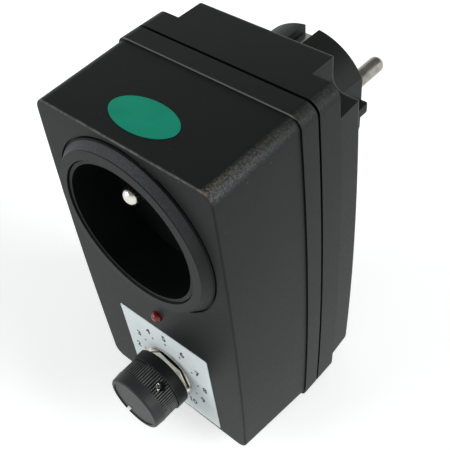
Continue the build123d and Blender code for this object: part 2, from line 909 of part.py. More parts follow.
oval_height = case_height - lean(front_fall, oval_depth)
top_slope = math.degrees(math.atan2(front_fall, front_depth))
top_place = Plane((oval_offset, front_y + oval_depth, oval_height)).rotated((top_slope, 0, 0))

with BuildPart() as oval_label:
    with BuildSketch(top_place):
        Ellipse(oval_length / 2, oval_width / 2)
    extrude(amount=label_thickness)
save(oval_label, "oval_label")

# Circuit board on its four posts, with its screws
board_screw_head = 2.0
board_head_height = 1.3

with BuildPart() as circuit_board:
    block(-board_half_width, board_half_width, board_low, board_high, board_front, board_rear)
    rod(board_screw_places, board_screw_radius, board_front - overrun, board_rear + overrun, cut)
save(circuit_board, "circuit_board")

with BuildPart() as board_screws:
    rod(board_screw_places, board_screw_radius, post_depth, board_rear)
    rod(board_screw_places, board_screw_head, board_rear, board_rear + board_head_height)
save(board_screws, "board_screws")


def board_place(share):
    """Height of a place on the board, as a share of the board's length."""
    return board_low + share * board_length


# Fuse, which lies across the board in two clips
fuse_x = -3.0
fuse_share = 0.104
fuse_height = board_place(fuse_share)
fuse_rise = 4.2
fuse_length = 20.0
fuse_radius = 2.6
fuse_cap_length = 5.0
fuse_glass_radius = 2.3
clip_half_width = 2.2
clip_sheet = 0.6
clip_reach = 3.4


def along_x(left, right, radius, x, rise, height):
    """Round rod that lies along X over the board."""
    with BuildSketch(Plane.YZ.offset(x + left)) as section:
        with Locations((front_y + board_rear + rise, height)):
            Circle(radius)
    extrude(section.sketch, amount=right - left)


with BuildPart() as fuse:
    half = fuse_length / 2
    inner = half - fuse_cap_length
    along_x(-half, -inner, fuse_radius, fuse_x, fuse_rise, fuse_height)
    along_x(inner, half, fuse_radius, fuse_x, fuse_rise, fuse_height)
    along_x(-inner, inner, fuse_glass_radius, fuse_x, fuse_rise, fuse_height)
save(fuse, "fuse")

with BuildPart() as fuse_clips:
    outer = fuse_radius + clip_sheet
    for side in (-1, 1):
        x = fuse_x + side * (fuse_length / 2 - fuse_cap_length / 2)
        clip_line = [
            (board_rear + fuse_rise + clip_reach / 2, fuse_height - outer + clip_sheet / 2),
            (board_rear + clip_sheet / 2, fuse_height - outer + clip_sheet / 2),
            (board_rear + clip_sheet / 2, fuse_height + outer - clip_sheet / 2),
            (board_rear + fuse_rise + clip_reach / 2, fuse_height + outer - clip_sheet / 2),
        ]
        strip(clip_line, x, 2 * clip_half_width, clip_sheet)
save(fuse_clips, "fuse_clips")

# Choke: a drum core with its winding between the two flanges
choke_x = 7.6
choke_share = 0.36
choke_height = board_place(choke_share)
choke_flange_radius = 6.4
choke_core_radius = 3.0
choke_winding_radius = 5.8
choke_flange = 1.5
choke_length = 13.5
choke_rear = board_rear + choke_length

with BuildPart() as choke_core:
    core = [
        (0, board_rear),
        (choke_flange_radius, board_rear),
        (choke_flange_radius, board_rear + choke_flange),
        (choke_core_radius, board_rear + choke_flange),
        (choke_core_radius, choke_rear - choke_flange),
        (choke_flange_radius, choke_rear - choke_flange),
        (choke_flange_radius, choke_rear),
        (0, choke_rear),
    ]
    turn(choke_x, choke_height, core)
save(choke_core, "choke_core")

with BuildPart() as choke_winding:
    places = [(choke_x, choke_height)]
    rod(places, choke_winding_radius, board_rear + choke_flange, choke_rear - choke_flange)
    rod(places, choke_core_radius, board_rear, choke_rear, cut)
save(choke_winding, "choke_winding")

# Resistors and the trigger diode: a round body on a bent wire
axial_wire = 0.6
axial_rise = 1.5
axial_reach = 2.2


def axial(x, height, length, radius):
    """Round body along X, with its leads bent down to the board."""
    half = length / 2 + axial_reach
    with BuildSketch(Plane.XY.offset(height - axial_wire / 2)) as section:
        with BuildLine():
            rise = front_y + board_rear + axial_rise
            foot = front_y + board_rear
            Polyline((x - half, foot), (x - half, rise), (x + half, rise), (x + half, foot))
        trace(line_width=axial_wire)
    extrude(section.sketch, amount=axial_wire)
    along_x(-length / 2, length / 2, radius, x, axial_rise, height)


resistor_x = 2.6
resistor_length = 6.3
resistor_radius = 1.2
resistor_shares = (0.56, 0.632, 0.704)
diode_inset = 7.4
diode_share = 0.652
diode_length = 4.0
diode_radius = 0.95
diode_x = diode_inset - board_half_width

with BuildPart() as resistors:
    for share in resistor_shares:
        axial(resistor_x, board_place(share), resistor_length, resistor_radius)
save(resistors, "resistors")

with BuildPart() as trigger_diode:
    axial(diode_x, board_place(diode_share), diode_length, diode_radius)
save(trigger_diode, "trigger_diode")

# Capacitors: two boxes with rounded upper edges. The small one fills the room
# between a screw of the board and the resistors.
suppression_inset = 1.4
suppression_share = 0.352
suppression_length = 14.0
suppression_width = 7.0
suppression_rise = 12.5
timing_share = 0.52
timing_width = 3.6
timing_rise = 7.0
timing_gap = 0.75
timing_screw_gap = 0.9
capacitor_edge = 0.6
timing_left = board_screw_head + timing_screw_gap - board_screw_x
timing_right = resistor_x - resistor_length / 2 - axial_reach - timing_gap

with BuildPart() as suppression_capacitor:
    left = suppression_inset - board_half_width
    low = board_place(suppression_share) - suppression_width / 2
    high = low + suppression_width
    block(left, left + suppression_length, low, high, board_rear, board_rear + suppression_rise)
    fillet(suppression_capacitor.faces().sort_by(Axis.Y)[-1].edges(), capacitor_edge)
save(suppression_capacitor, "suppression_capacitor")

with BuildPart() as timing_capacitor:
    low = board_place(timing_share) - timing_width / 2
    block(timing_left, timing_right, low, low + timing_width, board_rear, board_rear + timing_rise)
    fillet(timing_capacitor.faces().sort_by(Axis.Y)[-1].edges(), capacitor_edge)
save(timing_capacitor, "timing_capacitor")

# Triac on its heat sink, which stands on the board above the other pieces
sink_side_gap = 0.4
sink_drop = 6.4
sink_plate = 1.6
sink_length = 25.0
sink_foot = 1.0
fin_height = 5.0
fin_width = 1.2
fin_spacing = 5.2
fin_count = 4
sink_peg_width = 2.4
triac_half_width = 5.1
triac_thickness = 4.5
triac_tab = 1.3
triac_rise = 4.0
triac_length = 9.4
triac_tab_length = 6.2
triac_lead = 0.8
triac_lead_spacing = 2.54
triac_lead_setback = 2.4
sink_half_width = board_screw_x - board_screw_head - sink_side_gap
sink_height = board_high - sink_drop
sink_front = board_rear + sink_foot
sink_top = sink_height + sink_plate
triac_front = board_rear + triac_rise
triac_rear = triac_front + triac_length
tab_rear = triac_rear + triac_tab_length
screw_hole_rise = triac_rear + triac_tab_length / 2
triac_screw_radius = 1.45
triac_screw_head = 2.6
triac_head_height = 1.9

with BuildPart() as heat_sink:
    block(-sink_half_width, sink_half_width, sink_height, sink_top, sink_front, sink_front + sink_length)
    with BuildSketch(at(sink_front + sink_length)):
        with Locations((0, sink_top + fin_height / 2)):
            with GridLocations(fin_spacing, 0, fin_count, 1):
                Rectangle(fin_width, fin_height)
    extrude(amount=sink_length)
    for side in (-1, 1):
        peg = side * (sink_half_width - sink_peg_width)
        half = sink_peg_width / 2
        block(peg - half, peg + half, sink_height, sink_top, board_rear, sink_front)
    with BuildSketch(Plane.XY.offset(sink_height - overrun)):
        with Locations((0, front_y + screw_hole_rise)):
            Circle(triac_screw_radius)
    extrude(amount=sink_plate + 2 * overrun, mode=Mode.SUBTRACT)
save(heat_sink, "heat_sink")

with BuildPart() as triac:
    body_low = sink_height - triac_thickness
    block(-triac_half_width, triac_half_width, body_low, sink_height, triac_front, triac_rear)
    tab_low = sink_height - triac_tab
    block(-triac_half_width, triac_half_width, tab_low, sink_height, triac_rear, tab_rear)
    with BuildSketch(at(triac_front)):
        with Locations((0, body_low + triac_lead_setback)):
            with GridLocations(triac_lead_spacing, 0, 3, 1):
                Rectangle(triac_lead, triac_lead)
    extrude(amount=triac_rise)
    with BuildSketch(Plane.XY.offset(tab_low - overrun)):
        with Locations((0, front_y + screw_hole_rise)):
            Circle(triac_screw_radius)
    extrude(amount=triac_tab + 2 * overrun, mode=Mode.SUBTRACT)
save(triac, "triac")

with BuildPart() as triac_screw:
    tab_low = sink_height - triac_tab
    with BuildSketch(Plane.XY.offset(tab_low)):
        with Locations((0, front_y + screw_hole_rise)):
            Circle(triac_screw_radius)
    extrude(amount=triac_tab + sink_plate)
    with BuildSketch(Plane.XY.offset(tab_low - triac_head_height)):
        with Locations((0, front_y + screw_hole_rise)):
            Circle(triac_screw_head)
    extrude(amount=triac_head_height)
save(triac_screw, "triac_screw")

# Wires, each swept along straight runs joined by arcs. The points are X,
# depth and height.
wire_radius = 0.9
wire_bend = 3.0
wire_approach = 6.0
wire_side_reach = 3.6
wire_inner_inset = 0.2
wire_board_inset = 2.4
wire_cover_gap = 2.5
live_share = 0.18
switched_share = 0.72
wire_side = board_half_width + wire_side_reach
wire_inner_side = board_half_width - wire_inner_inset
wire_board_x = board_half_width - wire_board_inset
live_low = board_place(live_share)
switched_height = board_place(switched_share)
pin_turn_depth = cover_rear + wire_cover_gap
tail_middle = tag_rear + tail_length / 2


def wire(name, points):
    """Insulated wire along a route of places."""
    route_points = [(x, front_y + depth, height) for x, depth, height in points]
    with BuildPart() as lead:
        with BuildLine() as route:
            FilletPolyline(*route_points, radius=wire_bend)
        start = route.wires()[0] @ 0
        heading = route.wires()[0] % 0
        with BuildSketch(Plane(origin=start, z_dir=heading)) as section:
            Circle(wire_radius)
        sweep(section.sketch, path=route.wires()[0])
    save(lead, name)


wire(
    "live_wire",
    [
        (half_spacing, pin_tail_front, socket_height),
        (half_spacing, pin_turn_depth, socket_height),
        (wire_side, pin_turn_depth, socket_height - tag_drop),
        (wire_side, pin_turn_depth, sink_height),
        (wire_side, board_rear + choke_length, live_low + choke_length),
        (wire_board_x, board_rear + choke_length / 2, live_low),
        (wire_board_x, board_rear, live_low),
    ],
)
for side, name in ((1, "switched_wire"), (-1, "neutral_board_wire")):
    wire(
        name,
        [
            (side * wire_board_x, board_rear, switched_height),
            (side * wire_board_x, board_rear + choke_length, switched_height),
            (side * wire_inner_side, board_rear + choke_length, sink_height),
            (side * wire_inner_side, tail_middle, tail_low - wire_approach),
            (side * half_spacing, tail_middle, tail_low - wire_approach),
            (side * half_spacing, tail_middle, tail_low),
        ],
    )

wire(
    "neutral_wire",
    [
        (-half_spacing, pin_tail_front, socket_height),
        (-half_spacing, tail_middle, socket_height),
        (-half_spacing, tail_middle, tail_high),
    ],
)
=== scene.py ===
"""Looks of a plug-in power regulator for a soldering iron.

Metres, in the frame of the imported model. +X is to the right as seen from the
front, +Y runs from the knob to the plug pins, and Z zero is the lowest line of
the case, beside its seam.
"""

import json
import math

import bpy
from mathutils import Matrix, Vector


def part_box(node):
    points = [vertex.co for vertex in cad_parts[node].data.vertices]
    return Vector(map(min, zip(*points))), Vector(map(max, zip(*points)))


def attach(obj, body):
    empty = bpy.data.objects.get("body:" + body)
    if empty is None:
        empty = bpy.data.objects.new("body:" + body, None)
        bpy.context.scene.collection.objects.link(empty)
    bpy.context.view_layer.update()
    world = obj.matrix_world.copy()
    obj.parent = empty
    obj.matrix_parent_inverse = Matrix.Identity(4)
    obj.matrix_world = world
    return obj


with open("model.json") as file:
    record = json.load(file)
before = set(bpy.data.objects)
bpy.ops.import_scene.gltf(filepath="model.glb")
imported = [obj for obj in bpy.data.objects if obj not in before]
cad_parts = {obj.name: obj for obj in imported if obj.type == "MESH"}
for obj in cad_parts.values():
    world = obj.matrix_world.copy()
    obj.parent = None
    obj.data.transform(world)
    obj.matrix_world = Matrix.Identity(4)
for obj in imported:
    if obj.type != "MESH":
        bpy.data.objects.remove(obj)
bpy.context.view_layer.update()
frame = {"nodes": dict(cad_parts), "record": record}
MM = 0.001

# Places that follow from the frame. The front is the face that carries the dial label.
label_low, label_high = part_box("scale_label")
dial_centre = Vector(((label_low.x + label_high.x) / 2, label_low.y, (label_low.z + label_high.z) / 2))
front = label_high.y
case_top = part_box("front_shell")[1].z
insert_low, insert_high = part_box("socket_insert")
socket_centre = (insert_low + insert_high) / 2
nut_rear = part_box("bush_nut")[1].y
knob_low, knob_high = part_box("knob")
to_knob = frame["nodes"]["knob"].matrix_world.inverted()
knob_centre = to_knob @ ((knob_low + knob_high) / 2)
knob_rear = (to_knob @ knob_high).y


class Finish:
    """A material of one shader, with short ways to add nodes and join them.

    Its patterns lie in the object's own place, so that they have their real size.
    """

    def __init__(self, name):
        self.material = bpy.data.materials.new(name)
        self.material.use_nodes = True
        self.nodes = self.material.node_tree.nodes
        self.links = self.material.node_tree.links
        self.shader = self.nodes["Principled BSDF"]
        coordinates = self.nodes.new("ShaderNodeTexCoord")
        self.place = coordinates.outputs["Object"]
        self.normal = self.parts(coordinates.outputs["Normal"])
        self.axis = self.parts(self.place)

    def parts(self, vector):
        """The X, Y and Z of a vector."""
        node = self.nodes.new("ShaderNodeSeparateXYZ")
        self.links.new(vector, node.inputs["Vector"])
        return node.outputs

    def set(self, **values):
        """Set sockets of the shader. An underscore in a name stands for a space."""
        for name, value in values.items():
            self.shader.inputs[name.replace("_", " ")].default_value = value

    def noise(self, size, detail=2.0, stretch=None):
        """Noise whose features are about this size. A stretch below 1 draws them out along an axis."""
        texture = self.nodes.new("ShaderNodeTexNoise")
        texture.inputs["Scale"].default_value = 1 / size
        texture.inputs["Detail"].default_value = detail
        place = self.place
        if stretch:
            mapping = self.nodes.new("ShaderNodeMapping")
            mapping.inputs["Scale"].default_value = stretch
            self.links.new(place, mapping.inputs["Vector"])
            place = mapping.outputs["Vector"]
        self.links.new(place, texture.inputs["Vector"])
        return texture.outputs["Fac"]

    def share(self, value, none, full, least=0, most=1):
        """Share that goes from least to most as a value goes from none to full, and holds there."""
        node = self.nodes.new("ShaderNodeMapRange")
        for name, number in (
            ("From Min", none),
            ("From Max", full),
            ("To Min", least),
            ("To Max", most),
        ):
            node.inputs[name].default_value = number
        self.links.new(value, node.inputs["Value"])
        return node.outputs["Result"]

    def within(self, share, least, most=1):
        """A share moved onto a range of its own: least where it was 0, and most where it was 1."""
        return self.share(share, 0, 1, least, most)

    def product(self, *values):
        """All the values multiplied."""
        result = values[0]
        for value in values[1:]:
            node = self.nodes.new("ShaderNodeMath")
            node.operation = "MULTIPLY"
            self.links.new(result, node.inputs[0])
            self.links.new(value, node.inputs[1])
            result = node.outputs["Value"]
        return result

    def between(self, value, low, high, fade):
        """Share that is 1 from a low value to a high one, and fades out on both sides."""
        above = self.share(value, low - fade, low)
        below = self.share(value, high + fade, high)
        return self.product(above, below)

    def blend(self, share, first, second):
        """Colour that goes from the first to the second with a share."""
        node = self.nodes.new("ShaderNodeMix")
        node.data_type = "RGBA"
        self.links.new(share, node.inputs["Factor"])
        for socket, colour in zip((node.inputs["A"], node.inputs["B"]), (first, second)):
            if isinstance(colour, tuple):
                socket.default_value = (*colour, 1)
            else:
                self.links.new(colour, socket)
        return node.outputs["Result"]

    def radius(self, centre):
        """Distance from a line along Y through a centre."""
        value = self.place
        for operation, second in (("SUBTRACT", tuple(centre)), ("MULTIPLY", (1, 0, 1))):
            node = self.nodes.new("ShaderNodeVectorMath")
            node.operation = operation
            node.inputs[1].default_value = second
            self.links.new(value, node.inputs[0])
            value = node.outputs["Vector"]
        length = self.nodes.new("ShaderNodeVectorMath")
        length.operation = "LENGTH"
        self.links.new(value, length.inputs[0])
        return length.outputs["Value"]

    def edges(self, radius):
        """Share that is 1 on sharp edges, from how far a rounded normal turns."""
        least_turn = 0.02
        full_turn = 0.25
        bevel = self.nodes.new("ShaderNodeBevel")
        bevel.samples = 6
        bevel.inputs["Radius"].default_value = radius
        geometry = self.nodes.new("ShaderNodeNewGeometry")
        turn = self.nodes.new("ShaderNodeVectorMath")
        turn.operation = "DOT_PRODUCT"
        self.links.new(bevel.outputs["Normal"], turn.inputs[0])
        self.links.new(geometry.outputs["Normal"], turn.inputs[1])
        return self.share(turn.outputs["Value"], 1 - least_turn, 1 - full_turn)

    def corners(self, reach, darkest, lightest):
        """Share that is 1 in corners and gaps, where little light comes in, and 0 in the open."""
        shade = self.nodes.new("ShaderNodeAmbientOcclusion")
        shade.samples = 8
        shade.inputs["Distance"].default_value = reach
        return self.share(shade.outputs["AO"], lightest, darkest)

    def specks(self, spacing, size, chosen_share):
        """Share that is 1 in a few small spots: those chosen from a scatter at this spacing."""
        core_share = 0.6
        choice_fade = 0.01
        cells = self.nodes.new("ShaderNodeTexVoronoi")
        cells.inputs["Scale"].default_value = 1 / spacing
        self.links.new(self.place, cells.inputs["Vector"])
        spot = self.share(cells.outputs["Distance"], size / spacing, core_share * size / spacing)
        pick = self.nodes.new("ShaderNodeSeparateColor")
        self.links.new(cells.outputs["Color"], pick.inputs["Color"])
        chosen = self.share(pick.outputs["Red"], 1 - chosen_share, 1 - chosen_share + choice_fade)
        return self.product(spot, chosen)

    def colour(self, value):
        """Join a colour to the shader."""
        self.links.new(value, self.shader.inputs["Base Color"])

    def rough(self, value, low, high):
        """Let the roughness go from low to high with a noise."""
        roughness = self.share(value, none=0.3, full=0.7, least=low, most=high)
        self.links.new(roughness, self.shader.inputs["Roughness"])

    def bump(self, value, height, strength=1.0):
        """Raise the surface with a value, by a height."""
        node = self.nodes.new("ShaderNodeBump")
        node.inputs["Distance"].default_value = height
        node.inputs["Strength"].default_value = strength
        self.links.new(value, node.inputs["Height"])
        self.links.new(node.outputs["Normal"], self.shader.inputs["Normal"])


# Case: sizes of its patterns
case_cloud_size = 30 * MM
case_patch_size = 1.6 * MM
case_grain_size = 0.5 * MM
case_sheen_size = 0.8 * MM
case_relief_size = 0.30 * MM
case_relief = 0.010 * MM

# Case: its collar, which stands out from the front around the socket, and the painted shadow at its
# foot
collar_start = front - 0.3 * MM
collar_full = front - 0.6 * MM
flank_end = front - 2.55 * MM
flank_full = front - 2.4 * MM
foot_front = front - 0.4 * MM
foot_rear = front + 1.0 * MM
foot_depth_fade = 0.1 * MM
foot_inner = 25.3 * MM
foot_outer = 25.9 * MM
foot_fade = 0.15 * MM

# Case: dust, and the painted shade that darkens its gaps and corners
dust_spacing = 2.4 * MM
dust_size = 0.17 * MM
dust_share = 0.30
case_shade_reach = 1.6 * MM

# Case: its worn edges and painted edge highlights, down from its top and back from its front
shoulder_start = case_top - 6.2 * MM
shoulder_full = case_top - 5.4 * MM
wear_rear = front + 26 * MM
wear_front = front + 2 * MM
face_end = front + 0.2 * MM
rust_rear = front + 4 * MM
rust_front = front + 1 * MM
front_edge_start = case_top - 2.3 * MM
front_edge_full = case_top - 1.8 * MM
band_top_start = case_top - 0.9 * MM
band_top_full = case_top - 0.5 * MM
band_front = front + 27.5 * MM
band_rear = front + 28.5 * MM
band_fade = 0.2 * MM


def collar_tone(finish, tone, grainy):
    """Make the collar a little paler than the case, and paint a highlight on its upper flank, which
    faces up.
    """
    ring = finish.share(finish.axis["Y"], collar_start, collar_full)
    tone = finish.blend(ring, tone, (0.0150, 0.0165, 0.0165))
    # Painted highlight: the flank is made lighter where it faces up.
    upper = finish.share(finish.normal["Z"], none=0.25, full=0.80, least=0.05)
    flank = finish.product(ring, upper, finish.share(finish.axis["Y"], flank_end, flank_full))
    flank = finish.product(flank, finish.within(grainy, least=0.65))
    return finish.blend(flank, tone, (0.070, 0.078, 0.080))


def grime_tone(finish, tone, patchy):
    """Add dust to the case, painted shade where surfaces meet, and a painted shadow line around the
    collar's foot.
    """
    dust = finish.specks(dust_spacing, dust_size, dust_share)
    dust = finish.product(dust, finish.within(patchy, least=0.2, most=0.7))
    tone = finish.blend(dust, tone, (0.14, 0.14, 0.13))
    # Painted shade: darker in seams, gaps and corners, where little light comes in.
    corner_shade = finish.corners(case_shade_reach, darkest=0.25, lightest=0.8)
    tone = finish.blend(corner_shade, tone, (0.002, 0.002, 0.002))
    # Painted shadow: a dark ring at the foot of the collar, where it meets the front.
    at_foot = finish.between(finish.axis["Y"], foot_front, foot_rear, foot_depth_fade)
    around = finish.between(finish.radius(socket_centre), foot_inner, foot_outer, foot_fade)
    return finish.blend(finish.product(at_foot, around), tone, (0.001, 0.001, 0.001))


def long_edge_tone(finish, tone, facing_up, grainy):
    """Rub the upper right edge pale: brownish wear where it faces up, and a painted highlight where it
    turns to the side, with a little rust where it meets the front.
    """
    facing_right = finish.share(finish.normal["X"], none=0.10, full=0.40)
    shoulder = finish.share(finish.axis["Z"], shoulder_start, shoulder_full)
    near_front = finish.share(finish.axis["Y"], wear_rear, wear_front, least=0.35)
    behind_front = finish.share(finish.axis["Y"], front, face_end)
    worn = finish.product(shoulder, near_front, behind_front, finish.within(grainy, least=0.25))
    long_edge = finish.product(facing_up, facing_right, worn)
    # Pale edge: brownish wear where it faces up, and a painted highlight where it turns to the side.
    side = finish.share(finish.normal["X"], none=0.45, full=0.75)
    wear_and_highlight = finish.blend(side, (0.100, 0.094, 0.080), (0.072, 0.080, 0.082))
    tone = finish.blend(long_edge, tone, wear_and_highlight)
    above_side = finish.share(finish.normal["X"], none=0.6, full=0.3, most=0.8)
    at_corner = finish.share(finish.axis["Y"], rust_rear, rust_front)
    rust = finish.product(long_edge, grainy, above_side, at_corner)
    return finish.blend(rust, tone, (0.22, 0.15, 0.09))


def bright_line_tone(finish, tone, facing_up, patchy):
    """Draw painted highlights as bright lines on the front's upper edge and on the edge of the raised
    band.
    """
    # Painted highlights on rounded edges that face up and to the front.
    facing_front = finish.share(finish.normal["Y"], none=-0.10, full=-0.50)
    front_edge = finish.share(finish.axis["Z"], front_edge_start, front_edge_full)
    front_line = finish.product(facing_up, facing_front, front_edge, finish.within(patchy, least=0.45))
    tone = finish.blend(front_line, tone, (0.130, 0.135, 0.130))
    band_top = finish.share(finish.axis["Z"], band_top_start, band_top_full)
    band = finish.between(finish.axis["Y"], band_front, band_rear, band_fade)
    return finish.blend(finish.product(facing_front, band_top, band), tone, (0.150, 0.155, 0.150))


def case_plastic(name):
    """Moulded black plastic: fine grain, dust, painted shade in its seams, worn edges, and painted
    highlights on its edges and the collar's upper flank.
    """
    finish = Finish(name)
    cloud = finish.share(finish.noise(case_cloud_size), none=0.35, full=0.65)
    patchy = finish.share(finish.noise(case_patch_size, detail=3.0), none=0.42, full=0.62)
    grainy = finish.share(finish.noise(case_grain_size, detail=3.0), none=0.40, full=0.62)
    facing_up = finish.share(finish.normal["Z"], none=0.10, full=0.50)
    tone = finish.blend(cloud, (0.0090, 0.0106, 0.0104), (0.0108, 0.0126, 0.0123))
    tone = collar_tone(finish, tone, grainy)
    tone = grime_tone(finish, tone, patchy)
    tone = long_edge_tone(finish, tone, facing_up, grainy)
    tone = bright_line_tone(finish, tone, facing_up, patchy)
    finish.colour(tone)
    finish.rough(finish.noise(case_sheen_size, detail=3.0), 0.43, 0.49)
    finish.bump(finish.noise(case_relief_size), case_relief)
    finish.set(Specular_IOR_Level=0.13)
    return finish.material


# Socket insert: sizes of its patterns
insert_cloud_size = 14 * MM
insert_edge = 0.22 * MM
insert_wear_size = 1.2 * MM
insert_dust_spacing = 2.6 * MM
insert_dust_size = 0.08 * MM
insert_dust_share = 0.20
insert_shade_reach = 0.8 * MM
insert_sheen_size = 6 * MM
insert_relief_size = 0.5 * MM
insert_relief = 0.01 * MM


def insert_plastic(name):
    """Darker moulded plastic, with worn edges and painted shade in its corners."""
    finish = Finish(name)
    cloud = finish.share(finish.noise(insert_cloud_size, detail=3.0), none=0.35, full=0.65)
    tone = finish.blend(cloud, (0.003, 0.004, 0.004), (0.005, 0.006, 0.006))
    wear_and_highlight = finish.share(finish.noise(insert_wear_size), none=0.35, full=0.6, least=0.4)
    tone = finish.blend(finish.product(finish.edges(insert_edge), wear_and_highlight), tone, (0.09, 0.09, 0.09))
    dust = finish.specks(insert_dust_spacing, insert_dust_size, insert_dust_share)
    tone = finish.blend(dust, tone, (0.18, 0.17, 0.16))
    # Painted shade in corners and gaps, where little light comes in.
    corner_shade = finish.corners(insert_shade_reach, darkest=0.2, lightest=0.75)
    finish.colour(finish.blend(corner_shade, tone, (0.002, 0.002, 0.002)))
    finish.rough(finish.noise(insert_sheen_size, detail=3.0), 0.4, 0.5)
    finish.bump(finish.noise(insert_relief_size), insert_relief)
    finish.set(Specular_IOR_Level=0.12)
    return finish.material


# Knob: its grip and skirt, forward from its rear, its grooves, and sizes of its patterns
grip_front = knob_rear - 8.9 * MM
grip_rear = knob_rear - 3.7 * MM
grip_fade = 0.05 * MM
skirt_start = knob_rear - 3.65 * MM
skirt_full = knob_rear - 3.55 * MM
groove_mouth = 9.33 * MM
groove_floor = 9.22 * MM
knob_cloud_size = 14 * MM
knob_wear_size = 2.2 * MM
knob_edge = 0.25 * MM
knob_shade_reach = 0.8 * MM
knob_sheen_size = 0.8 * MM
knob_relief_size = 0.25 * MM
knob_relief = 0.006 * MM


def knob_plastic(name):
    """Black plastic of the knob, pale on the ribs of its grip from wear and a painted highlight, with
    painted shade in the grooves between them and in its corners.
    """
    finish = Finish(name)
    cloud = finish.share(finish.noise(knob_cloud_size, detail=3.0), none=0.35, full=0.65)
    tone = finish.blend(cloud, (0.030, 0.033, 0.033), (0.036, 0.039, 0.039))
    grip = finish.between(finish.axis["Y"], grip_front, grip_rear, grip_fade)
    skirt = finish.share(finish.axis["Y"], skirt_start, skirt_full)
    tone = finish.blend(skirt, tone, (0.0105, 0.0115, 0.0110))
    wear_and_highlight = finish.share(finish.noise(knob_wear_size), none=0.35, full=0.6, least=0.35)
    # Pale ribs on the grip: wear, and a painted highlight on them.
    tone = finish.blend(finish.product(grip, wear_and_highlight), tone, (0.115, 0.120, 0.118))
    # Painted shade in the grooves between the ribs.
    groove_shade = finish.share(finish.radius(knob_centre), groove_mouth, groove_floor)
    tone = finish.blend(finish.product(grip, groove_shade), tone, (0.004, 0.004, 0.004))
    off_grip = finish.share(grip, none=1, full=0)
    wear = finish.product(finish.edges(knob_edge), wear_and_highlight, off_grip)
    tone = finish.blend(wear, tone, (0.13, 0.13, 0.13))
    # Painted shade in corners and gaps.
    corner_shade = finish.corners(knob_shade_reach, darkest=0.3, lightest=0.85)
    finish.colour(finish.blend(corner_shade, tone, (0.003, 0.003, 0.003)))
    finish.rough(finish.noise(knob_sheen_size, detail=3.0), 0.38, 0.46)
    finish.bump(finish.noise(knob_relief_size), knob_relief)
    finish.set(Specular_IOR_Level=0.15)
    return finish.material


# Metal: sizes of its patterns, and the painted shadow line where a piece stands on another
metal_cloud_size = 3.0 * MM
metal_shade_reach = 0.7 * MM
metal_grain_size = 0.4 * MM
metal_relief = 0.004 * MM
foot_shadow_start = 0.45 * MM
foot_shadow_full = 0.35 * MM


def metal(name, colour, dull, rough_low, rough_high, drawn=None, foot=None):
    """Plated or drawn metal, with painted shade in its gaps.

    Drawn is the stretch of its grain, for streaks that follow how it was made.
    A foot is the depth at which the piece stands on another, with a painted shadow line there.
    """
    finish = Finish(name)
    cloud = finish.share(finish.noise(metal_cloud_size), none=0.4, full=0.7)
    tone = finish.blend(cloud, colour, dull)
    # Painted shade in gaps and corners, where little light comes in.
    corner_shade = finish.corners(metal_shade_reach, darkest=0.25, lightest=0.7)
    tone = finish.blend(corner_shade, tone, (0.02, 0.018, 0.015))
    # Painted shadow: a dark line where the piece stands on another.
    if foot is not None:
        line = finish.share(finish.axis["Y"], foot - foot_shadow_start, foot - foot_shadow_full)
        tone = finish.blend(line, tone, (0.01, 0.01, 0.01))
    finish.colour(tone)
    finish.rough(finish.noise(metal_grain_size, stretch=drawn), rough_low, rough_high)
    finish.bump(finish.noise(metal_grain_size, stretch=drawn), metal_relief, strength=0.2)
    finish.set(Metallic=1.0)
    return finish.material


# Film: sizes of its patterns
stain_size = 5 * MM
film_sheen_size = 2 * MM
film_relief_size = 0.3 * MM
film_relief = 0.01 * MM


def film(name, colour, stain, rough_low, rough_high, specular=0.5):
    """Printed film, ink, or the plain finish of a small part, with faint stains."""
    finish = Finish(name)
    cloud = finish.share(finish.noise(stain_size, detail=3.0), none=0.4, full=0.75)
    finish.colour(finish.blend(cloud, colour, stain))
    finish.rough(finish.noise(film_sheen_size), rough_low, rough_high)
    finish.bump(finish.noise(film_relief_size), film_relief, strength=0.3)
    finish.set(Specular_IOR_Level=specular)
    return finish.material


# Lamp: sizes of its patterns
lens_cloud_size = 0.8 * MM
lens_sheen_size = 0.5 * MM


def tinted_lens(name, colour, dark):
    """Clear tinted plastic of an indicator lamp."""
    finish = Finish(name)
    cloud = finish.share(finish.noise(lens_cloud_size), none=0.3, full=0.7)
    finish.colour(finish.blend(cloud, colour, dark))
    finish.rough(finish.noise(lens_sheen_size), 0.06, 0.16)
    finish.set(Transmission_Weight=0.35, IOR=1.5)
    return finish.material


# Finishes by material slot. The numbers after the two colours are the lowest and highest roughness.
finishes = {
    "case_plastic": case_plastic("case_plastic"),
    "insert_plastic": insert_plastic("insert_plastic"),
    "knob_plastic": knob_plastic("knob_plastic"),
    "pointer_white": film("pointer_white", (0.80, 0.81, 0.82), (0.65, 0.66, 0.66), 0.4, 0.6),
    "nickel": metal("nickel", (0.74, 0.72, 0.66), (0.62, 0.59, 0.52), 0.14, 0.22, drawn=(1, 0.15, 1)),
    "steel": metal("steel", (0.58, 0.58, 0.57), (0.46, 0.46, 0.45), 0.22, 0.35),
    "brass": metal("brass", (0.80, 0.60, 0.28), (0.60, 0.42, 0.18), 0.22, 0.4),
    "copper": metal("copper", (0.72, 0.36, 0.20), (0.50, 0.22, 0.12), 0.3, 0.5),
    "aluminium": metal("aluminium", (0.78, 0.78, 0.78), (0.6, 0.6, 0.6), 0.3, 0.45),
    "label_white": film("label_white", (0.76, 0.835, 0.835), (0.71, 0.775, 0.775), 0.45, 0.6),
    "label_green": film(
        "label_green", (0.003, 0.282, 0.174), (0.002, 0.250, 0.153), 0.3, 0.45, specular=0.18
    ),
    "lamp_red": tinted_lens("lamp_red", (0.34, 0.005, 0.005), (0.238, 0.0035, 0.0035)),
}

